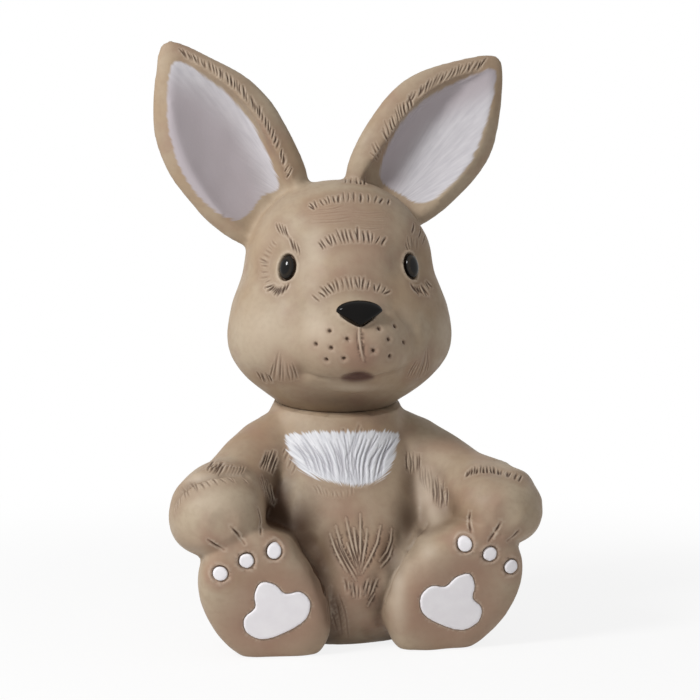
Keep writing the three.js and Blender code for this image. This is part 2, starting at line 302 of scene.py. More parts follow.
def make_room_for_plug(*skins):
    """Hollows a pocket for the neck plug out of each skin."""
    form = bmesh.new()
    cad_copy(form, "neck_plug")
    room = piece_of("plug_room", form)
    applied(room, "DISPLACE", strength=PLUG_ROOM, mid_level=0)
    for skin in skins:
        applied(skin, "BOOLEAN", operation="DIFFERENCE", solver="EXACT", object=room)
    bpy.data.objects.remove(room)


def node_tree(node):
    form = bmesh.new()
    cad_copy(form, node)
    tree = BVHTree.FromBMesh(form)
    form.free()
    return tree


def fill_crook(form):
    """Flesh along the inner edge of the left arm, where it lies on the belly."""
    tree = node_tree("arm_left")
    top, bottom = (on_skin(tree, photo_aim, end) - camera_back * CROOK_RADIUS for end in CROOK_ENDS)
    run = bottom - camera_right * CROOK_SHIFT - top
    for share in np.linspace(0, CROOK_REACH, CROOK_BALLS):
        place = Matrix.Translation(top + run * share)
        bmesh.ops.create_icosphere(form, subdivisions=3, radius=CROOK_RADIUS, matrix=place)


def make_body_skin():
    form = bmesh.new()
    fill_crook(form)
    for node in BODY_SHELLS:
        cad_copy(form, node)
    for side in SIDES:
        for node in (f"sole_pad_{side}", *[f"toe_pad_{side}_{toe}" for toe in TOES]):
            cad_copy(form, node, Vector((0, PAD_SINK, 0)))
    lengthen_at_seat(form, 0, SEAT_SPARE)
    skin = grown_skin("body_skin", form, BODY_FACE)
    cut_flat(skin, seat_place, seat_axis)
    cut_flat(skin, Vector(), Vector((0, 0, -1)))
    return skin


def inlay_outward(node):
    low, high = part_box(node)
    middle = (low + high) / 2
    return Vector((middle.x, middle.y, 0)).normalized()


def make_head_skin():
    form = bmesh.new()
    for node in HEAD_SHELLS:
        cad_copy(form, node)
    for node in ("nose", "eye_left", "eye_right"):
        cad_copy(form, node, -INLAY_SINK * inlay_outward(node))
    lengthen_at_seat(form, SEAT_GAP, -SEAT_SPARE)
    skin = grown_skin("head_skin", form, HEAD_FACE)
    cut_flat(skin, seat_place + seat_axis * SEAT_GAP, -seat_axis)
    return skin


# Soft forms, each at a pixel: half width, half height and how far the skin swells out or sinks in, in
# millimetres, and for the flatter ones how flat the top is, from 1 for a round one upwards
FACE_SWELLS = [
    ((357, 345), 26, 18, 3.0, 2), ((334, 346), 11, 12, 1.3), ((383, 344), 11, 12, 1.3),
    ((356, 387), 12, 2.6, 2.2), ((357, 397), 18, 4, -1.6), ((303, 373), 4, 4, -1.2),
    ((406, 369), 4, 4, -1.2), ((284, 267), 9, 10, -1.3), ((311, 262), 6, 14, -0.9),
    ((397, 262), 5, 13, -0.9), ((413, 266), 8, 10, -1.1), ((280, 241), 9, 5, 0.6),
    ((417, 240), 7, 5, 0.6), ((282, 285), 8, 4, 0.5), ((262, 335), 14, 15, 1.2),
    ((354, 272), 9, 16, 1.0),
]
LIMB_SWELLS = [
    ((276, 414), 8, 6, 2.0), ((402, 411), 7, 5, 1.0), ((502, 463), 11, 7, -3.6),
    ((419, 541), 4, 6, 2.0), ((406, 562), 4, 6, 2.2), ((395, 583), 4, 6, 2.2), ((388, 605), 4, 6, 2.0),
    ((402, 538), 3, 6, -1.0), ((389, 559), 3, 6, -1.2), ((379, 580), 3, 6, -1.2),
    ((373, 603), 3, 6, -1.0), ((309, 545), 6, 7, -3.4), ((320, 566), 5, 8, -3.6),
    ((329, 590), 4.5, 8, -3.2), ((334, 614), 4, 7, -2.0), ((249, 531), 6, 7, 1.0),
    ((227, 542), 6, 6, 1.0), ((205, 547), 5, 5, 0.8), ((268, 522), 4, 6, 0.7), ((458, 525), 5, 6, 0.8),
    ((482, 531), 6, 6, 1.0), ((504, 535), 5, 5, 1.0), ((521, 533), 4, 4, 0.7),
    ((212, 506), 17, 12, 1.6, 1.5), ((495, 503), 16, 12, 1.4, 1.5),
]
SWELL_WRAP = 0.35


def swell(piece, swells):
    tree = tree_of(piece)
    places = places_of(piece)
    normals = normals_of(piece)
    moved = np.zeros(len(places))
    facing = np.sqrt(np.clip(normals @ BACK + SWELL_WRAP, 0, 1))
    for pixel, half, rise, height, *flat in swells:
        away = places - np.array(on_skin(tree, photo_aim, pixel))
        across = away @ RIGHT / (half * mm)
        upward = away @ UP / (rise * mm)
        away = (across ** 2 + upward ** 2) ** (flat[0] if flat else 1)
        moved += height * mm * np.exp(-away) * facing
    move_to(piece, places + normals * moved[:, None])


# Tooled marks: a line on the skin with the width and depth of the groove
Mark = namedtuple("Mark", "line width depth")
LINE_POINTS = 6
LONGEST_STEP = 7 * mm
FUR_WIDTH = 0.38 * mm
FUR_DEPTH = 0.6 * mm
FAINT = 0.3 * mm
BROAD = 0.45 * mm
DEEP = 0.8 * mm
# How far the strokes of a row differ, as shares of their spacing, length, width and depth
SPACING_SCATTER = 0.3
ROOT_SCATTER = 0.03
TIP_SCATTER = (-0.2, 0.25)
BEND_SCATTER = 0.07
WIDTH_SCATTER = (0.8, 1.2)
DEPTH_SCATTER = (0.6, 1.15)


def arc(points, share):
    """Point of the smooth curve through three points."""
    a, b, c = (np.array(p, float) for p in points)
    return a * (1 - share) * (1 - 2 * share) + b * 4 * share * (1 - share) + c * share * (2 * share - 1)


def mark(tree, aim, points, width, depth):
    """A groove through two or more aimed points, or none where it runs off the skin."""
    count = max(LINE_POINTS, 2 * len(points) - 1)
    shares = np.linspace(0, len(points) - 1, count)
    aimed = [np.interp(shares, range(len(points)), [p[axis] for p in points]) for axis in (0, 1)]
    line = [on_skin(tree, aim, p) for p in zip(*aimed)]
    if None in line:
        return []
    line = np.array(line)
    if np.linalg.norm(np.diff(line, axis=0), axis=1).max() > LONGEST_STEP:
        return []
    return [Mark(line, width, depth)]


def comb(tree, aim, tips, roots, count, width=FUR_WIDTH, depth=FUR_DEPTH, bend=0.0):
    """A row of short strokes from one curve to another, none quite like the next."""
    made = []
    for i in range(count):
        share = (i + dice.uniform(-SPACING_SCATTER, SPACING_SCATTER)) / (count - 1)
        tip = arc(tips, share)
        root = arc(roots, share + dice.uniform(-ROOT_SCATTER, ROOT_SCATTER))
        run = root - tip
        tip = tip + run * dice.uniform(*TIP_SCATTER)
        aside = np.array([-run[1], run[0]]) * (bend + dice.uniform(-BEND_SCATTER, BEND_SCATTER))
        made += mark(tree, aim, (tip, (tip + root) / 2 + aside, root), width * dice.uniform(*WIDTH_SCATTER),
                     depth * dice.uniform(*DEPTH_SCATTER))
    return made


def combs(tree, aim, rows):
    return [made for row in rows for made in comb(tree, aim, *row)]


def lines(tree, rows):
    return [made for row in rows for made in mark(tree, photo_aim, *row)]


def mirrored(tree, marks):
    """The same marks on the other side of the hare."""
    made = []
    for line, width, depth in marks:
        flipped = [tree.find_nearest(Vector(p) * Vector((-1, 1, 1)))[0] for p in line]
        made.append(Mark(np.array(flipped), width, depth))
    return made


# Rows of strokes: three points of the curve of their tips, three of their roots, how many, and where they
# aren't like most their width, depth and bend
FACE_ROWS = [
    (((320, 180), (348, 178), (376, 182)), ((320, 184), (348, 183), (376, 187)), 12),
    (((308, 205.5), (341, 193.5), (390.5, 200.5)), ((312.5, 210.5), (342.5, 202), (390, 204.5)), 16),
    (((312, 210), (308, 216), (315, 222)), ((345, 206), (356, 212), (352, 220)), 6, 0.3 * mm, 0.16 * mm),
    (((352, 211), (350, 218), (354, 226)), ((384, 212), (389, 220), (384, 227)), 5, 0.3 * mm, 0.14 * mm),
    (((318.5, 243.5), (347.5, 229), (385, 238.5)), ((323.5, 249), (350.5, 242), (381.5, 244.5)), 16),
    (((314.5, 295), (348, 278), (392, 292)), ((321, 300), (350.5, 288.5), (388, 295)), 18),
    (((275, 222), (279, 222), (284, 224)), ((280, 233), (284, 235), (288, 237)), 4),
    (((288.5, 237), (292, 238), (296, 241)), ((292.5, 250), (296, 252), (300, 255)), 4),
    (((271, 238), (260.5, 262), (265, 286)), ((276, 246), (268, 264), (272, 282)), 13, FUR_WIDTH, FAINT),
    (((266, 288), (275, 295), (285, 291)), ((273.5, 284.5), (280, 287), (288.5, 284)), 10, BROAD, DEEP),
    (((415, 221), (420, 224), (425, 231)), ((413, 233), (418, 237), (422, 243)), 5),
    (((405, 241), (411, 238), (417, 239)), ((408, 251), (412, 249), (417, 249)), 5, FUR_WIDTH, FAINT),
    (((415, 290), (423, 295), (432, 288)), ((411, 284), (418, 286.5), (427, 281)), 10, BROAD, DEEP),
    (((258, 373), (263, 374), (268, 373)), ((262, 381), (267, 383), (273, 382)), 5),
]
JAW_ROW = (((276, 357), (283, 358), (294, 366)), ((271, 378), (284, 381), (299, 378)), 7, FUR_WIDTH, FAINT)
EAR_ROWS = [
    (((179, 49), (207, 61), (235, 80)), ((183, 56), (209, 70), (236, 90)), 16),
    (((237, 81), (267, 119), (291, 170)), ((238, 92), (267, 129), (287, 179)), 20),
    (((486, 59), (450, 70), (413, 93)), ((481, 69), (446, 80), (408, 104)), 20),
    (((410, 96), (389, 118), (370, 150)), ((412, 108), (394, 131), (377, 161)), 15),
]
# The rolled lip between the cup of each ear and the strokes beside it
EAR_LIPS = [
    ((178, 61), (215, 82), (247, 113), (266, 146), (280, 182)),
    ((488, 69), (463, 81), (439, 93), (416, 109), (398, 132), (385, 154), (378, 174)),
]
LIP_WIDTH = 1.2 * mm
LIP_HEIGHT = 0.7 * mm
EAR_ROLL = ((424, 99), (398, 129), (380, 154), (371, 174))
EAR_FOLD = ((452, 101), (428, 121), (410, 144), (398, 164), (393, 180))
WHISKER_HOLES = [
    (329.2, 330.2), (315.2, 343.8), (347.1, 338.5), (330.8, 347.8), (326, 359.7), (343.6, 358.6),
    (379, 328.3), (394.9, 325.8), (388.7, 339), (404.2, 341.9), (373.4, 350.5), (390.1, 356.2),
]
WHISKER_WIDTH = 0.8 * mm
WHISKER_DEPTH = 1.5 * mm
WHISKER_STEP = 0.5
PHILTRUM = ((359.3, 326), (359.3, 339), (361, 350), (363.5, 361))
SMILE = ((303, 373.5), (322, 378), (343, 380), (358, 380.5), (373, 378), (392, 373), (407, 367.5))
MOUTH = ((346, 377), (358, 375.5), (369, 376))
MUZZLE_CREASES = [
    ((306, 308), (295, 328), (293, 350), (302, 372)),
    ((394, 307), (413, 327), (417, 349), (408, 368)),
]


# Longer lines: their points, width and depth, which is below nought for a ridge
FACE_LINES = [
    *[(((x, y), (x + WHISKER_STEP, y + WHISKER_STEP)), WHISKER_WIDTH, WHISKER_DEPTH)
      for x, y in WHISKER_HOLES],
    (PHILTRUM, 0.45 * mm, -0.5 * mm),
    (SMILE, 1.6 * mm, 1.0 * mm),
    (MOUTH, 1.6 * mm, 2.6 * mm),
    *[(crease, 3.5 * mm, 1.4 * mm) for crease in MUZZLE_CREASES],
]
EAR_LINES = [
    *[(lip, LIP_WIDTH, -LIP_HEIGHT) for lip in EAR_LIPS],
    (EAR_ROLL, 3.2 * mm, -1.6 * mm),
    (EAR_FOLD, 3.5 * mm, 1.6 * mm),
]
BODY_ROWS = [
    (((289, 440), (320, 437), (349, 436)), ((310, 470), (334, 480), (352, 485)), 17, BROAD, 0.7 * mm, -0.1),
    (((351, 436), (375, 436), (396, 440)), ((354, 485), (364, 485), (382, 477)), 15, BROAD, 0.7 * mm, 0.1),
    (((346, 578), (360, 583), (374, 578)), ((348, 592), (360, 598), (371, 592)), 7, 0.42 * mm, 0.4 * mm),
    (((324, 586), (331, 592), (339, 598)), ((329, 622), (337, 630), (346, 636)), 5, 0.42 * mm, FAINT),
    (((312, 484), (332, 490), (352, 487)), ((316, 492), (334, 497), (352, 495)), 9, 0.36 * mm, 0.2 * mm),
    (((209, 459), (217, 462), (226, 464)), ((200, 469), (209, 471.5), (219, 473)), 8, 0.5 * mm, 1.0 * mm),
    (((229, 465), (237, 465), (246, 466)), ((225, 472), (234, 473), (243, 473)), 6, FUR_WIDTH, FAINT),
    (((177, 501), (196, 480), (239, 476)), ((174, 514), (203, 489), (244, 483)), 14, FUR_WIDTH, 0.4 * mm),
    (((267, 451), (273, 452), (279, 456)), ((261, 467), (267, 470), (273, 473)), 6, BROAD, 0.9 * mm),
    (((261, 480), (265, 480), (270, 487)), ((266, 498), (270, 501), (273, 503)), 5, BROAD, DEEP),
    (((288, 446), (291, 452), (295, 460)), ((283, 456), (286, 464), (291, 472)), 4, FUR_WIDTH, FAINT),
    (((468, 471), (489, 466.5), (522, 476)), ((465, 477), (489, 473), (518, 481)), 16, 0.42 * mm, DEEP),
    (((405, 453), (412, 450), (420, 453)), ((406, 470), (413, 473), (419, 470)), 6),
    (((420, 462), (425, 464), (431, 470)), ((424, 490), (428, 494), (432, 498)), 5, FUR_WIDTH, FAINT),
    (((432, 483), (438, 480), (447, 487)), ((433, 501), (439, 507), (447, 505)), 7),
]
BELLY_RIDGES = [
    ((346, 518), (351.6, 543), (359.5, 574)), ((360.6, 514), (360.6, 545), (359.7, 569)),
    ((367.3, 529), (366.2, 543), (361, 570)), ((380.7, 526), (377.4, 543), (370, 559), (361.5, 574)),
    ((392, 529), (391, 541), (387, 552), (380, 561)), ((336, 526), (341.6, 547), (348, 560), (357, 574)),
    ((347, 543), (356, 566)), ((393, 546), (389, 558), (381, 567)), ((337, 541), (346, 562), (356, 580)),
    ((330, 534), (336, 552), (347, 572)), ((354, 528), (356, 545), (359, 560)),
    ((351.6, 583), (354, 597)), ((368.4, 579), (364, 594)), ((377.4, 579), (369.5, 599)),
    ((374, 594), (368, 606)),
]
PAW_CREASES = [
    ((258, 509), (261, 519), (261, 534)), ((231, 527), (239, 535), (245, 544)),
    ((208, 540), (216, 545.5), (224, 550)), ((470, 513), (468.5, 520), (471, 532)),
    ((501, 522), (495.5, 532), (489, 541)), ((519, 530.5), (513, 537.5), (508, 541)),
]
CUFFS = [
    ((174, 504), (182, 491), (193, 482), (208, 476), (226, 474), (246, 476)),
    ((472, 472), (489, 469.5), (508, 472.5)),
]
CUFF_DEPTHS = (1.8 * mm, 0.3 * mm)
CUFF_RISE = 6
LEG_CREASE = ((378.5, 625), (380, 612), (384.5, 596), (393.5, 571.5), (407, 549), (419, 533), (427, 524))
BODY_LINES = [
    *[(ridge, 0.42 * mm, -0.55 * mm) for ridge in BELLY_RIDGES],
    *[(crease, 0.45 * mm, 0.9 * mm) for crease in PAW_CREASES],
    (LEG_CREASE, 1.3 * mm, 1.8 * mm),
    *[(cuff, 2.0 * mm, depth) for cuff, depth in zip(CUFFS, CUFF_DEPTHS)],
    *[([(x, y - CUFF_RISE) for x, y in cuff], 1.8 * mm, -1.0 * mm) for cuff in CUFFS],
]
# Rows round the back, where the photograph doesn't reach, in millimetres: the height, half length and
# count of each, how far in from its tips the roots start, and how far the ends and the middle of its tips
# and of its roots lie above that height
CROWN_ROWS = (((205, 20, 13), (185, 26, 15), (160, 30, 17)), 2, (-4, 2), (-10, -5))
SPINE_ROWS = (((92, 24, 15), (76, 30, 15), (58, 30, 15)), 3, (-3, 3), (-11, -7))
TAIL_ROWS = (((33, 10, 9), (25, 10, 9), (17, 10, 9)), -1, (0, 3), (-7, -5))


def bow(reach, height, ends, middle):
    return (-reach, height + ends), (0, height + middle), (reach, height + ends)


def back_rows(tree, rows, inward, tips, roots):
    marks = []
    for height, reach, count in rows:
        marks += comb(tree, back_aim, bow(reach, height, *tips), bow(reach - inward, height, *roots), count)
    return marks


def head_marks(tree):
    marks = combs(tree, photo_aim, FACE_ROWS)
    jaw = comb(tree, photo_aim, *JAW_ROW)
    marks += jaw + mirrored(tree, jaw) + lines(tree, FACE_LINES)
    marks += combs(tree, photo_aim, EAR_ROWS) + lines(tree, EAR_LINES)
    return marks + back_rows(tree, *CROWN_ROWS)


def body_marks(tree):
    marks = combs(tree, photo_aim, BODY_ROWS) + lines(tree, BODY_LINES)
    return marks + back_rows(tree, *SPINE_ROWS) + back_rows(tree, *TAIL_ROWS)


# Tooling a skin: finer faces near the marks and the inlays, then the grooves with a little lip beside them
FINE_WIDTH = 1.0 * mm
REFINE_REACHES = (2.2 * mm, 1.0 * mm)
REFINE_SMOOTHING = 2
RIM_SLANT = 0.8
SAMPLE_STEP = 0.5 * mm
MARK_REACH = 3
END_TRIM = 0.05
LIP_SHARE = 0.22
LIP_PLACE = 2.1
LIP_SPREAD = 0.8
DOT_LIP = 0.35
AIRBRUSH_REACH = 6 * mm
INLAY_MARGIN = 4 * mm
INLAY_GAP = 0.2 * mm
BRIM_PLACE = 1.6
BRIM_SPREAD = 0.7
BRIM_HIGHLIGHT = 0.6
BOND_REACH = 12 * mm
BOND_WIDTH = 1.5 * mm
BOND_DEPTH = 1.5 * mm
SHOULDER = (90 * mm, 66 * mm)
EAR_BONDS = 0.3
CREASE_SHADE = 0.5
SHADE_START = 0.8 * mm
SHADE_REACH = 40 * mm
SHADE_RANGE = (0.16, 0.56)
SPOT_RANGE = (0.06, 0.22)
SHADE_BLUR = 4
SKY_POINTS = 40
UNEVEN_SIZE = 13 * mm
UNEVEN_DEPTH = 0.3 * mm


def sample_tree(marks, rims):
    samples = [place for rim in rims for place in rim]
    for line, width, _ in marks:
        if width > 2 * FINE_WIDTH:
            continue
        for start, end in zip(line[:-1], line[1:]):
            steps = max(1, round(np.linalg.norm(end - start) / SAMPLE_STEP))
            samples += [start + (end - start) * i / steps for i in range(steps + 1)]
    near = KDTree(len(samples))
    for i, sample in enumerate(samples):
        near.insert(sample, i)
    near.balance()
    return near


def refine(piece, *nears):
    """Halves the faces of a skin twice, each time near its own set of places."""
    form = form_of(piece)
    for near, reach in zip(nears, REFINE_REACHES):
        close = {v for v in form.verts if near.find(v.co)[2] < reach}
        edges = [e for e in form.edges if e.verts[0] in close and e.verts[1] in close]
        bmesh.ops.subdivide_edges(form, edges=edges, cuts=1, use_grid_fill=True)
        fresh = [v for v in form.verts if near.find(v.co)[2] < reach]
        for _ in range(REFINE_SMOOTHING):
            bmesh.ops.smooth_vert(form, verts=fresh, factor=0.5, use_axis_x=True, use_axis_y=True,
                                  use_axis_z=True)
    bmesh.ops.triangulate(form, faces=form.faces)
    put_back(form, piece)


def along_line(places, line):
    """Distance of places from a line, and how far along it each one lies, from 0 to 1."""
    runs = np.diff(line, axis=0)
    lengths = np.linalg.norm(runs, axis=1)
    best = np.full(len(places), np.inf)
    share = np.zeros(len(places))
    passed = 0.0
    for start, run, length in zip(line, runs, lengths):
        step = np.clip((places - start) @ run / length ** 2, 0, 1)
        gap = np.linalg.norm(places - start - step[:, None] * run, axis=1)
        closer = gap < best
        best[closer] = gap[closer]
        share[closer] = (passed + step[closer] * length) / lengths.sum()
        passed += length
    return best, share


def smooth_step(low, high, values):
    share = np.clip((values - low) / (high - low), 0, 1)
    return share * share * (3 - 2 * share)


def gaps_to(node, places):
    """Distances of places from a CAD node, up to a reach."""
    tree = node_tree(node)
    return [tree.find_nearest(place, BOND_REACH)[3] or BOND_REACH for place in places]


def rim_places(inlay):
    """Places round the sides of an inlay."""
    slant = np.abs(normals_of(inlay) @ BACK)
    return places_of(inlay)[slant < RIM_SLANT]


def bond_gaps(places, nodes):
    """Distances of places from the second nearest of some bonded mouldings."""
    return np.sort([gaps_to(node, places) for node in nodes], axis=0)[1]


def bond_places(piece, nodes):
    """Places of a skin in the open creases between bonded mouldings."""
    places = places_of(piece)
    gaps = bond_gaps(places, nodes)
    return places[(gaps < BOND_WIDTH) & (places[:, 2] < SHOULDER[0])]


def sky_points():
    """Directions spread evenly over a ball."""
    turn = math.pi * (3 - math.sqrt(5))
    heights = [1 - (2 * i + 1) / SKY_POINTS for i in range(SKY_POINTS)]
    made = []
    for i, height in enumerate(heights):
        ring = math.sqrt(1 - height * height)
        made.append(Vector((ring * math.cos(i * turn), ring * math.sin(i * turn), height)))
    return made


def blurred(piece, values):
    """Values evened out between neighbours."""
    ends = np.empty(len(piece.data.edges) * 2, int)
    piece.data.edges.foreach_get("vertices", ends)
    one, other = ends.reshape(-1, 2).T
    count = np.bincount(ends, minlength=len(values)) + 1
    for _ in range(SHADE_BLUR):
        total = np.bincount(one, values[other], len(values)) + np.bincount(other, values[one], len(values))
        values = (values + total) / count
    return values


def raise_to(values, near, least):
    values[near] = np.maximum(values[near], least)


class Tooling:
    """What tooling leaves on a skin: grooves and their lips, fur and blushing skin, with painted shade in
    the creases and painted highlights on the lips and brims.
    """

    def __init__(self, piece):
        self.piece = piece
        self.places = places_of(piece)
        self.normals = normals_of(piece)
        count = len(self.places)
        self.groove, self.lip, self.airbrush, self.rosy, self.shade = (np.zeros(count) for _ in range(5))
        self.closed = np.ones(count)

    def push_out(self, heights):
        self.places += self.normals * heights[:, None]
        move_to(self.piece, self.places)
        self.normals = normals_of(self.piece)

    def near(self, around, reach):
        """Which places lie in the box round some others."""
        inside = (self.places > around.min(axis=0) - reach) & (self.places < around.max(axis=0) + reach)
        return np.nonzero(np.all(inside, axis=1))[0]

    def deepen_bonds(self, nodes):
        """Cuts the creases between bonded mouldings deeper."""
        least = EAR_BONDS if "head_shell" in nodes else 0
        open_crease = np.maximum(smooth_step(*SHOULDER, self.places[:, 2]), least)
        self.push_out(-BOND_DEPTH * np.exp(-bond_gaps(self.places, nodes) / BOND_WIDTH) * open_crease)

    def shade_creases(self):
        """Paints shade into the colour where the skin closes in on itself, from the share of rays that meet
        it again.
        """
        tree = tree_of(self.piece)
        sky = sky_points()
        closed = np.zeros(len(self.places))
        for i, (place, normal) in enumerate(zip(self.places, self.normals)):
            normal = Vector(normal)
            start = Vector(place) + normal * SHADE_START
            ahead = [d for d in sky if d.dot(normal) > 0]
            closed[i] = sum(tree.ray_cast(start, d, SHADE_REACH)[0] is not None for d in ahead) / len(ahead)
        self.closed = blurred(self.piece, closed)
        self.shade = smooth_step(*SHADE_RANGE, self.closed)

    def work_by_hand(self):
        """Leaves the skin faintly uneven, as it was modelled."""
        self.push_out(UNEVEN_DEPTH * np.array([noise.noise(place / UNEVEN_SIZE) for place in self.places]))

    def cut(self, marks):
        dug = np.zeros(len(self.places))
        raised = np.zeros(len(self.places))
        for line, width, depth in marks:
            fine = width < FINE_WIDTH
            near = self.near(line, max(MARK_REACH * width, AIRBRUSH_REACH if fine else 0))
            gap, share = along_line(self.places[near], line)
            dot = np.linalg.norm(line[-1] - line[0]) < 2 * width
            ends = 1 if dot else np.sqrt(np.sin(np.pi * np.clip(share, END_TRIM, 1 - END_TRIM)))
            hollow = np.exp(-(gap / width) ** 2) * ends
            if not fine:
                dug[near] += depth * hollow
                # Painted shade in the wider creases, darker the steeper they are
                raise_to(self.shade, near, CREASE_SHADE * np.clip(depth / width, 0, 1) ** 2 * hollow)
                continue
            beside = (gap - LIP_PLACE * width) / (LIP_SPREAD * width)
            edge = np.exp(-beside ** 2) * (DOT_LIP if dot else ends)
            if depth < 0:
                hollow, edge, depth = edge, hollow, -depth
            strength = min(1, depth / FUR_DEPTH)
            raise_to(dug, near, depth * hollow)
            raise_to(raised, near, LIP_SHARE * FUR_DEPTH * edge)
            raise_to(self.groove, near, hollow * strength)
            # Painted highlight along the lips of each fine groove, or on the crest of a ridge
            raise_to(self.lip, near, edge * strength)
            raise_to(self.airbrush, near, 1 - smooth_step(0, AIRBRUSH_REACH, gap))
        self.lip *= 1 - self.groove
        self.push_out(raised * (1 - self.groove) - dug)

    def let_in(self, inlay, depth, slope, wash, blush, lid):
        """Sinks a pocket into the skin round an inlay, with a raised brim and blushing skin about it; the
        brim, and the pocket where it has no wash, take painted highlight.
        """
        tree = tree_of(inlay)
        heights = np.zeros(len(self.places))
        for i in self.near(places_of(inlay), max(INLAY_MARGIN, blush)):
            hit, normal, _, gap = tree.find_nearest(self.places[i])
            if (Vector(self.places[i]) - hit).dot(normal) < 0:
                gap = 0.0
            share = 1 - smooth_step(INLAY_GAP, INLAY_GAP + slope, gap)
            brim = math.exp(-((gap - INLAY_GAP - BRIM_PLACE * slope) / (BRIM_SPREAD * slope)) ** 2)
            heights[i] = lid * brim - depth * share
            self.groove[i] = max(self.groove[i], wash * share)
            self.lip[i] = max(self.lip[i], BRIM_HIGHLIGHT * brim, (1 - wash) * share)
            if blush:
                self.rosy[i] = max(self.rosy[i], 1 - smooth_step(0, blush, gap))
        self.push_out(heights)


# Paint outlines, in pixels, each with the pixel from which its brush strokes fan out
EAR_RIGHT_PAINT = [(175, 62), (215, 84), (246, 115), (264, 147), (279, 186), (262, 196), (250, 212),
                   (235, 220), (211, 208), (188, 182), (173, 148), (167, 108)]
EAR_LEFT_PAINT = [(494, 70), (493, 95), (483, 132), (467, 167), (440, 194), (420, 203), (400, 194),
                  (381, 180), (383, 159), (394, 134), (412, 110), (437, 92), (464, 79)]
CHEST_PAINT = [(286, 435), (312, 432), (345, 431.5), (375, 431.5), (398, 434), (396, 450), (391, 466),
               (381, 479), (356, 485.5), (326, 480), (305, 473), (294, 463), (288, 449)]
MOUTH_PAINT = [(342, 378), (350, 374), (358, 372), (366, 373), (373, 377), (366, 380), (356, 381),
               (348, 380.5)]
EAR_RAGGED = 3.2 * mm
CHEST_RAGGED = 6.5 * mm
HEAD_PATCHES = [(EAR_RIGHT_PAINT, (300, 205), EAR_RAGGED), (EAR_LEFT_PAINT, (375, 220), EAR_RAGGED)]
BODY_PATCHES = [(CHEST_PAINT, (351, 500), CHEST_RAGGED)]
# Lilac in each ear, most of it painted shade on the side of the cup turned from the lamp: the lip it is
# measured from and the pixels off it at which it starts and is full
EAR_LILACS = {-1: (EAR_LIPS[0], 0, 36), 1: (EAR_LIPS[1], 36, 8)}
LEAST_LILAC = 0.5
# Soft spots on the skin: pixel, half width and half height in millimetres, strength; the rosy ones are
# blush
ROSY_SPOTS = {
    "head_skin": [((362, 356), 17, 12, 0.8), ((282, 372), 8, 7, 0.5), ((415, 372), 9, 8, 0.5),
                  ((366, 255), 12, 16, 0.6), ((345, 212), 20, 6, 0.6)],
    "body_skin": [((225, 545), 20, 7, 0.8), ((492, 538), 20, 7, 0.8), ((262, 436), 8, 10, 0.7),
                  ((497, 505), 5, 9, 0.7), ((450, 445), 16, 4, 0.9), ((225, 438), 12, 6, 0.5),
                  ((352, 510), 14, 8, 0.6), ((358, 590), 12, 20, 0.8), ((235, 520), 9, 8, 0.4)],
}
# Painted shade under the chin and mouth, along the base and in the creases between the belly, arms and legs
SHADE_SPOTS = {
    "head_skin": [((350, 402), 26, 5, 0.75), ((358, 384), 9, 2, 0.25)],
    "body_skin": [((345, 640), 26, 7, 0.7), ((352, 570), 24, 26, 0.2), ((300, 525), 10, 14, 1.0),
                  ((318, 565), 9, 18, 1.0), ((331, 612), 6, 16, 0.9), ((408, 520), 7, 16, 1.0),
                  ((392, 560), 6, 14, 0.9), ((379, 605), 4, 14, 0.8), ((410, 490), 5, 12, 0.8)],
}
# Painted highlights where light falls: cheeks, muzzle, brow, chin, cuffs, paws and the inner edges of an
# arm and a leg
HIGHLIGHT_SPOTS = {
    "head_skin": [((354, 388), 12, 2, 0.6), ((262, 332), 14, 14, 0.4), ((313, 254), 7, 14, 0.5),
                  ((318, 330), 7, 9, 0.5), ((262, 232), 6, 10, 0.3), ((406, 330), 4, 14, 0.3),
                  ((446, 338), 4, 10, 0.9)],
    "body_skin": [((500, 464), 14, 2.5, 0.9), ((198, 478), 11, 2.5, 0.8), ((235, 476), 9, 2, 0.6),
                  ((213, 500), 12, 8, 0.4), ((290, 415), 8, 5, 0.4), ((426, 492), 6, 12, 0.9),
                  ((410, 455), 4, 10, 0.4), ((398, 590), 4, 18, 0.8), ((428, 545), 5, 8, 0.6),
                  ((432, 512), 6, 8, 0.7)],
}
UNPAINTED = -20 * mm
PAINT_FACING = 0.02
PAINT_MARGIN = 8 * mm
FAN_REACH = 30 * mm


def closed_curve(points, steps=10):
    """A smooth closed line through points."""
    loop = np.array(points, float)
    before, after, later = (np.roll(loop, turn, axis=0) for turn in (1, -1, -2))
    made = []
    for a, b, c, d in zip(before, loop, after, later):
        for t in np.arange(steps) / steps:
            made.append(0.5 * (2 * b + (c - a) * t + (2 * a - 5 * b + 4 * c - d) * t ** 2
                               + (3 * b - a - 3 * c + d) * t ** 3))
    return np.array(made)


def inside_gap(points, loop):
    """How far inside a closed line points lie; below nought outside it."""
    best = np.full(len(points), np.inf)
    within = np.zeros(len(points), bool)
    for start, end in zip(loop, np.roll(loop, -1, axis=0)):
        run = end - start
        step = np.clip((points - start) @ run / (run @ run), 0, 1)
        best = np.minimum(best, np.linalg.norm(points - start - step[:, None] * run, axis=1))
        if run[1]:
            level = (points[:, 1] - start[1]) / run[1]
            within ^= (level >= 0) & (level < 1) & (start[0] + level * run[0] > points[:, 0])
    return np.where(within, best, -best)


def painted(piece, patches):
    """How far inside a painted patch places lie, where along and across its strokes, and its raggedness."""
    places = places_of(piece)
    pixels = to_pixels(places)
    facing = normals_of(piece) @ BACK
    paint = np.full(len(places), UNPAINTED)
    brush = np.zeros((len(places), 3))
    for outline, fan, ragged in patches:
        gap = inside_gap(pixels, closed_curve(outline)) / PIXELS_PER_METRE
        chosen = (gap > -PAINT_MARGIN) & (facing > PAINT_FACING) & (gap > paint)
        paint[chosen] = gap[chosen]
        away = (pixels[chosen] - np.array(fan)) / PIXELS_PER_METRE
        brush[chosen, 0] = np.linalg.norm(away, axis=1)
        brush[chosen, 1] = np.arctan2(away[:, 1], away[:, 0]) * FAN_REACH
        brush[chosen, 2] = ragged
    return paint, brush


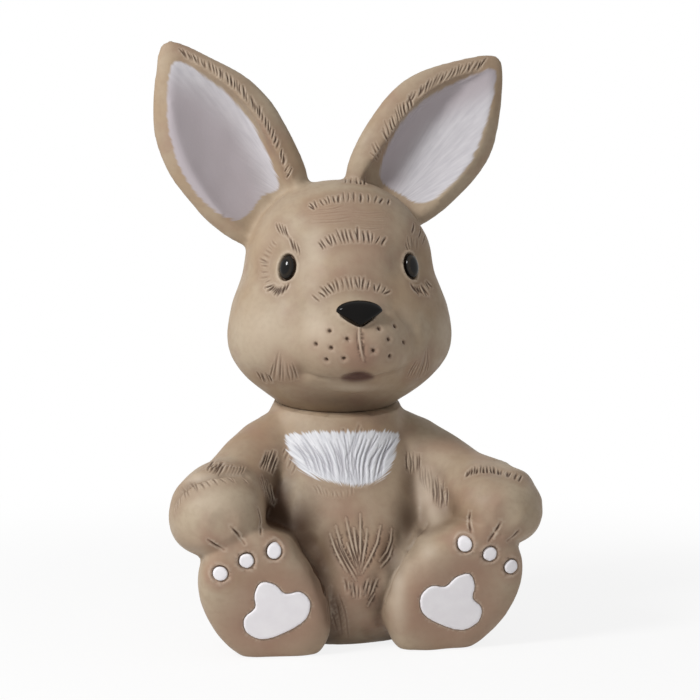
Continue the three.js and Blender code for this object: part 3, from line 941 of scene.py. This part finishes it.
def spots_of_blush_shade_and_highlight(piece, spots):
    """Strength of soft spots on the skin that faces the camera: airbrushed blush, painted shade or painted
    highlights.
    """
    pixels = to_pixels(places_of(piece))
    facing = np.sqrt(np.clip(normals_of(piece) @ BACK, 0, 1))
    strongest = np.zeros(len(pixels))
    for centre, half, rise, strength in spots:
        away = (pixels - np.array(centre)) / PIXELS_PER_METRE / (np.array([half, rise]) * mm)
        strongest = np.maximum(strongest, strength * facing * np.exp(-np.sum(away ** 2, axis=1)))
    return strongest


def ear_lilac(piece):
    """How lilac the white paint is, from the lip of each ear onwards: a faint tint all over, and painted
    shade across the side of each cup turned from the lamp.
    """
    places = places_of(piece)
    pixels = to_pixels(places)
    lilac = np.zeros(len(places))
    for side, (lip, start, full) in EAR_LILACS.items():
        own = places[:, 0] * side > 0
        gap, _ = along_line(pixels[own], np.array(lip, float))
        lilac[own] = LEAST_LILAC + (1 - LEAST_LILAC) * smooth_step(start, full, gap)
    return lilac


# Inlays

# Domes: half width, half height, depth and how far their middle stands off the skin
EYE_SIZE = (3.7 * mm, 5.5 * mm, 2.3 * mm, 0.3 * mm)
NOSE_SIZE = (10.6 * mm, 7.0 * mm, 3.6 * mm, 0.8 * mm)
NOSE_TAPER = 0.66
NOSE_ARCH = 0.74
NOSE_LIFT = 0.14
DOME_SIDES = 48
DOME_ROWS = 32
PAD_FACE = 0.5 * mm
PAD_SOFTENING = 8


def frame_on_skin(tree, node):
    """Frame on the skin where a CAD node is seen: Z outward and Y as near upright as the skin allows."""
    pixels = to_pixels(places_of(frame["nodes"][node]))
    place, outward, _, _ = tree.ray_cast(*photo_aim((pixels.min(axis=0) + pixels.max(axis=0)) / 2))
    across = Vector((0, 0, 1)).cross(outward).normalized()
    upright = outward.cross(across)
    return Matrix.Translation(place) @ Matrix((across, upright, outward)).transposed().to_4x4()


def dome(name, matrix, half, rise, depth, proud, shape=None):
    form = bmesh.new()
    bmesh.ops.create_uvsphere(form, u_segments=DOME_SIDES, v_segments=DOME_ROWS, radius=1)
    iris = [math.hypot(v.co.x, v.co.y) for v in form.verts]
    if shape:
        shape(form)
    bmesh.ops.scale(form, vec=(half, rise, depth), verts=form.verts)
    bmesh.ops.translate(form, vec=(0, 0, proud), verts=form.verts)
    bmesh.ops.transform(form, matrix=matrix, verts=form.verts)
    piece = piece_of(name, form)
    write_attribute(piece, "iris", np.array(iris))
    return piece


def shape_nose(form):
    for v in form.verts:
        v.co.x *= 1 + NOSE_TAPER * min(v.co.y, 0)
        v.co.y = v.co.y * (NOSE_ARCH if v.co.y > 0 else 1) + NOSE_LIFT


def make_pad(node):
    form = bmesh.new()
    cad_copy(form, node)
    pad = piece_of(f"{node}_inlay", form)
    applied(pad, "REMESH", mode="VOXEL", voxel_size=PAD_FACE)
    applied(pad, "SMOOTH", factor=0.5, iterations=PAD_SOFTENING)
    return pad


# Materials

def linear(code):
    """Linear colour of an sRGB code."""
    parts = [int(code[i:i + 2], 16) / 255 for i in (1, 3, 5)]
    return [p / 12.92 if p <= 0.04045 else ((p + 0.055) / 1.055) ** 2.4 for p in parts] + [1]


def add(tree, kind, inputs=None, **settings):
    """Adds a node, with its settings, and its inputs set or linked."""
    made = tree.nodes.new(kind)
    for key, value in settings.items():
        setattr(made, key, value)
    for key, value in (inputs or {}).items():
        if isinstance(value, bpy.types.NodeSocket):
            tree.links.new(value, made.inputs[key])
        else:
            made.inputs[key].default_value = value
    return made


def new_material(name):
    """A material with its node tree, its shader and the object's own coordinates."""
    material = bpy.data.materials.new(name)
    material.use_nodes = True
    tree = material.node_tree
    where = add(tree, "ShaderNodeTexCoord").outputs["Object"]
    return material, tree, tree.nodes["Principled BSDF"], where


def per(size):
    """Texture scale for features of a real size in millimetres."""
    return 1 / (size * mm)


def grained(tree, where, size, detail=2.0):
    """Noise with features of a real size in millimetres."""
    inputs = {"Vector": where, "Scale": per(size), "Detail": detail}
    return add(tree, "ShaderNodeTexNoise", inputs).outputs["Fac"]


def sums(tree, kind, *values):
    return add(tree, "ShaderNodeMath", dict(enumerate(values)), operation=kind).outputs[0]


def ranged(tree, value, low=0.0, high=1.0, least=0.0, most=1.0, soft=False):
    """A value laid from one range into another."""
    limits = {"Value": value, "From Min": low, "From Max": high, "To Min": least, "To Max": most}
    kind = "SMOOTHSTEP" if soft else "LINEAR"
    return add(tree, "ShaderNodeMapRange", limits, interpolation_type=kind).outputs["Result"]


def cloudy(tree, where, size, low, high, most=1.0):
    """Soft patches of a real size: nothing up to one level of the noise, the most from another level on."""
    return ranged(tree, grained(tree, where, size, 3.0), low, high, most=most, soft=True)


def mixed(tree, factor, one, other):
    inputs = {"Factor": factor, "A": one, "B": other}
    return add(tree, "ShaderNodeMix", inputs, data_type="RGBA").outputs["Result"]


def layered(tree, colour, layers):
    """Colours laid over one another, each by its own factor."""
    for factor, code in layers:
        colour = mixed(tree, factor, colour, linear(code))
    return colour


def wire(tree, shader, colour, rough, specular=None, bump=None):
    """Gives a shader its colour, roughness, specular level and bump: height, strength and millimetres."""
    tree.links.new(colour, shader.inputs["Base Color"])
    tree.links.new(rough, shader.inputs["Roughness"])
    if specular:
        shader.inputs["Specular IOR Level"].default_value = specular
    if bump:
        height, strength, depth = bump
        inputs = {"Height": height, "Strength": strength, "Distance": depth * mm}
        tree.links.new(add(tree, "ShaderNodeBump", inputs).outputs["Normal"], shader.inputs["Normal"])


def white_paint(tree, marks, washed):
    """White brushed thinly over the vinyl: its cover, ragged along the strokes, and its streaky colour."""
    combed = add(tree, "ShaderNodeMapping", {"Vector": marks["brush"], "Scale": (per(12), per(1.0), 1)})
    inputs = {"Vector": combed.outputs["Vector"], "Scale": 1.0, "Detail": 4.0}
    streaks = add(tree, "ShaderNodeTexNoise", inputs).outputs["Fac"]
    ragged = add(tree, "ShaderNodeSeparateXYZ", {"Vector": marks["brush"]}).outputs["Z"]
    edge = sums(tree, "MULTIPLY_ADD", sums(tree, "ADD", streaks, -0.5), ragged, marks["paint"])
    cover = ranged(tree, edge, -0.8 * mm, 0.8 * mm, most=0.96, soft=True)
    # The lilac layer is the paint's faint tint with painted shade in the cups of the ears
    colour = layered(tree, linear("#e4e5e9"), [
        (ranged(tree, streaks, 0.65, 0.35), "#c8cad0"), (marks["lilac"], "#b0a8ad"),
        (sums(tree, "MULTIPLY", washed, 0.5), "#857f88")])
    return cover, colour


def painted_vinyl():
    """Soft vinyl, cast hollow and hand painted: matte and cloudy, with a dark wash in the tooled marks,
    painted shade in its creases and painted highlights.
    """
    material, tree, shader, where = new_material("painted_vinyl")
    names = ("groove", "painted_highlight", "airbrush", "rosy", "shade", "paint", "lilac", "mouth", "brush")
    found = {name: add(tree, "ShaderNodeAttribute", attribute_name=name) for name in names}
    marks = {name: node.outputs["Vector" if name == "brush" else "Fac"] for name, node in found.items()}
    washed = ranged(tree, marks["groove"], 0.12, 0.75, most=0.9)
    colour = layered(tree, linear("#a3907a"), [
        (cloudy(tree, where, 42, 0.4, 0.65, 0.6), "#b1a28c"),
        (cloudy(tree, where, 30, 0.45, 0.68, 0.6), "#9b8267"),
        (cloudy(tree, where, 16, 0.5, 0.75, 0.45), "#947565"),
        (cloudy(tree, where, 2.6, 0.4, 0.7, 0.18), "#877360"),
        (sums(tree, "MULTIPLY", marks["airbrush"], 0.4), "#876b59"),
        (sums(tree, "MULTIPLY", marks["rosy"], 0.65), "#997866"),
        # Painted shade in the creases and hollows
        (sums(tree, "MULTIPLY", marks["shade"], 0.94), "#3d2512"),
        # Painted highlights on lips, brims and the places where light falls
        (sums(tree, "MULTIPLY", marks["painted_highlight"], 0.7), "#c9baa7"), (washed, "#4a372b")])
    cover, white = white_paint(tree, marks, washed)
    lips = ranged(tree, marks["mouth"], -1.8 * mm, 1.2 * mm, most=0.9, soft=True)
    colour = layered(tree, mixed(tree, cover, colour, white), [(lips, "#4b2d26")])
    rough = ranged(tree, cloudy(tree, where, 9, 0.3, 0.7), least=0.52, most=0.7)
    wire(tree, shader, colour, rough, 0.3, (grained(tree, where, 1.1), 0.25, 0.12))
    return material


def glossy_eye():
    """Clear enamel over black: wet-looking, with a dark brown ring that shows only near its edge."""
    material, tree, shader, where = new_material("glossy_eye_enamel")
    flecks = grained(tree, where, 1.2)
    iris = add(tree, "ShaderNodeAttribute", attribute_name="iris")
    ring = add(tree, "ShaderNodeValToRGB", {"Fac": iris.outputs["Fac"]})
    stops = ring.color_ramp.elements
    stops[0].position, stops[0].color = 0.58, linear("#0c0a09")
    stops[1].position, stops[1].color = 0.74, linear("#32281b")
    for place, code in ((0.86, "#2c2318"), (0.93, "#0e0b0a")):
        stops.new(place).color = linear(code)
    colour = mixed(tree, flecks, linear("#0c0a09"), ring.outputs["Color"])
    wire(tree, shader, colour, ranged(tree, flecks, least=0.04, most=0.09), 0.22)
    return material


def glossy_nose():
    """Black enamel, brushed on thick: glossy, with a slight waviness in its shine."""
    material, tree, shader, where = new_material("glossy_black_enamel")
    waves = grained(tree, where, 5, 1.0)
    colour = mixed(tree, waves, linear("#060504"), linear("#0e0b0a"))
    wire(tree, shader, colour, ranged(tree, waves, least=0.06, most=0.2), 0.12, (waves, 0.2, 0.2))
    return material


def pad_paint():
    """White vinyl inlays, sponged with paint: near matte, a little lilac and faintly uneven."""
    material, tree, shader, where = new_material("white_pad_vinyl")
    clouds = grained(tree, where, 7, 4.0)
    colour = mixed(tree, ranged(tree, clouds, 0.3, 0.7), linear("#ebe8ec"), linear("#f1eff2"))
    rough = ranged(tree, clouds, least=0.5, most=0.7)
    wire(tree, shader, colour, rough, bump=(grained(tree, where, 0.9), 0.2, 0.1))
    return material


def plug_plastic():
    """Polypropylene, injection moulded: waxy cream with a faint satin grain."""
    material, tree, shader, where = new_material("moulded_polypropylene")
    grain = grained(tree, where, 0.8)
    wire(tree, shader, mixed(tree, grain, linear("#c8c1b4"), linear("#d5cfc4")),
         ranged(tree, grain, least=0.4, most=0.55))
    return material


# Floor, world and lamp
FLOOR_HALF = 3.0
FLOOR_LIFT = 0.85
FLOOR_ROUGHNESS = 0.9
SHADOW_NEAR = 0.16
SHADOW_FAR = 0.5
FILL = 0.38


def background_seen(tree):
    """1 where a ray looks straight at the background or sees it in a gloss, 0 where it lights a surface."""
    path = add(tree, "ShaderNodeLightPath").outputs
    gloss = sums(tree, "MAXIMUM", path["Is Glossy Ray"], path["Is Transmission Ray"])
    return sums(tree, "MAXIMUM", path["Is Camera Ray"], gloss)


def floor_paint():
    """Matte white paint, rolled on: it keeps the shadow by the hare and fades into the white background."""
    material, tree, shader, where = new_material("matte_white_floor")
    colour = mixed(tree, grained(tree, where, 6), linear("#f1f0ef"), linear("#f6f5f4"))
    tree.links.new(colour, shader.inputs["Base Color"])
    shader.inputs["Roughness"].default_value = FLOOR_ROUGHNESS
    away = add(tree, "ShaderNodeVectorMath", {0: where}, operation="LENGTH").outputs["Value"]
    fade = ranged(tree, away, SHADOW_NEAR, SHADOW_FAR, FLOOR_LIFT, soft=True)
    share = sums(tree, "MULTIPLY", fade, background_seen(tree))
    glow = add(tree, "ShaderNodeEmission", {"Color": (1, 1, 1, 1), "Strength": 1.0}).outputs["Emission"]
    blend = add(tree, "ShaderNodeMixShader", {0: share, 1: shader.outputs["BSDF"], 2: glow})
    tree.links.new(blend.outputs["Shader"], tree.nodes["Material Output"].inputs["Surface"])
    return material


def add_floor():
    form = bmesh.new()
    bmesh.ops.create_grid(form, x_segments=1, y_segments=1, size=FLOOR_HALF)
    floor = piece_of("floor", form)
    floor.data.materials.append(floor_paint())


def add_world():
    world = bpy.data.worlds.new("studio")
    world.use_nodes = True
    tree = world.node_tree
    sky = tree.nodes["Background"]
    sky.inputs["Color"].default_value = (1, 1, 1, 1)
    tree.links.new(ranged(tree, background_seen(tree), least=FILL), sky.inputs["Strength"])
    bpy.context.scene.world = world


def add_lamp(name, turn, rise, away, width, power):
    data = bpy.data.lights.new(name, "AREA")
    data.size = width
    data.energy = power
    lamp = bpy.data.objects.new(name, data)
    a, e = math.radians(turn), math.radians(rise)
    direction = Vector((math.sin(a) * math.cos(e), -math.cos(a) * math.cos(e), math.sin(e)))
    turned = direction.to_track_quat("Z", "Y").to_matrix().to_4x4()
    lamp.matrix_world = Matrix.Translation(camera_target + direction * away) @ turned
    bpy.context.scene.collection.objects.link(lamp)


# The build

def finish_piece(piece, material, body, slot, *nodes):
    move_to(piece, np.clip(places_of(piece), *[np.array(corner) for corner in cad_box]))
    piece.data.materials.clear()
    piece.data.materials.append(material)
    piece.data.shade_smooth()
    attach(piece, body)
    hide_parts(*nodes)


Inlay = namedtuple("Inlay", "node piece pocket")
# Pockets: how deep, how far the brim slopes, how dark the wash in it is, how far the skin blushes about it
# and how high its brim stands
EYE_POCKET = (1.5 * mm, 0.9 * mm, 0.9, 0, 0.6 * mm)
NOSE_POCKET = (1.8 * mm, 0.5 * mm, 0.8, 0, 0.3 * mm)
SOLE_POCKET = (1.0 * mm, 0.3 * mm, 0, 22 * mm, 0)
TOE_POCKET = (1.9 * mm, 0.8 * mm, 0.2, 9 * mm, 0.35 * mm)


def make_face_inlays(tree):
    made = []
    for side in SIDES:
        node = f"eye_{side}"
        eye = dome(f"{node}_dome", frame_on_skin(tree, node), *EYE_SIZE)
        made.append(Inlay(node, eye, EYE_POCKET))
    nose = dome("nose_dome", frame_on_skin(tree, "nose"), *NOSE_SIZE, shape_nose)
    return made + [Inlay("nose", nose, NOSE_POCKET)]


def make_pads():
    made = []
    for side in SIDES:
        sole = f"sole_pad_{side}"
        made.append(Inlay(sole, make_pad(sole), SOLE_POCKET))
        toes = [f"toe_pad_{side}_{toe}" for toe in TOES]
        made += [Inlay(toe, make_pad(toe), TOE_POCKET) for toe in toes]
    return made


def finish_skin(piece, bonded, marks, inlays, patches):
    rims = [rim_places(inlay.piece) for inlay in inlays]
    refine(piece, sample_tree(marks, rims + [bond_places(piece, bonded)]), sample_tree(marks, rims))
    tooling = Tooling(piece)
    tooling.deepen_bonds(bonded)
    if piece == body_skin:
        tooling.shade_creases()
    tooling.work_by_hand()
    tooling.cut(marks)
    for inlay in inlays:
        tooling.let_in(inlay.piece, *inlay.pocket)
    paint, brush = painted(piece, patches)
    mouth, _ = painted(piece, [(MOUTH_PAINT, (0, 0), 0)] if piece == head_skin else [])
    lilac = ear_lilac(piece) if piece == head_skin else np.zeros(len(paint))
    # Blush, painted shade and painted highlights, each from the tooling and from the soft spots
    rosy = np.maximum(tooling.rosy, spots_of_blush_shade_and_highlight(piece, ROSY_SPOTS[piece.name]))
    shaded = spots_of_blush_shade_and_highlight(piece, SHADE_SPOTS[piece.name]) * smooth_step(*SPOT_RANGE, tooling.closed)
    shade = np.maximum(tooling.shade, shaded)
    painted_highlight = np.maximum(tooling.lip, spots_of_blush_shade_and_highlight(piece, HIGHLIGHT_SPOTS[piece.name]))
    for name, values in (("groove", tooling.groove), ("painted_highlight", painted_highlight), ("airbrush", tooling.airbrush),
                         ("rosy", rosy), ("shade", shade), ("paint", paint), ("lilac", lilac),
                         ("brush", brush), ("mouth", mouth)):
        write_attribute(piece, name, values)


body_skin = make_body_skin()
head_skin = make_head_skin()
make_room_for_plug(body_skin, head_skin)
swell(head_skin, FACE_SWELLS)
swell(body_skin, LIMB_SWELLS)
head_tree = tree_of(head_skin)
body_tree = tree_of(body_skin)
face_inlays = make_face_inlays(head_tree)
pads = make_pads()
finish_skin(head_skin, HEAD_SHELLS, head_marks(head_tree), face_inlays, HEAD_PATCHES)
finish_skin(body_skin, BODY_SHELLS, body_marks(body_tree), pads, BODY_PATCHES)
keep_to_seat(head_skin, SEAT_GAP, 1)
keep_to_seat(body_skin, 0, -1)

vinyl = painted_vinyl()
finish_piece(body_skin, vinyl, "body", "body_vinyl", *BODY_SHELLS)
finish_piece(head_skin, vinyl, "head", "body_vinyl", *HEAD_SHELLS)
eye_enamel = glossy_eye()
nose_enamel = glossy_nose()
pad_white = pad_paint()
for inlay in face_inlays:
    enamel = nose_enamel if inlay.node == "nose" else eye_enamel
    finish_piece(inlay.piece, enamel, "head", "gloss_black", inlay.node)
for inlay in pads:
    finish_piece(inlay.piece, pad_white, "body", "pad_white", inlay.node)
frame["nodes"]["neck_plug"].material_slots[0].material = plug_plastic()

add_camera()
add_world()
add_floor()
add_lamp("key", turn=-58, rise=34, away=1.2, width=0.27, power=10.8)
bpy.context.scene.view_settings.view_transform = "Standard"
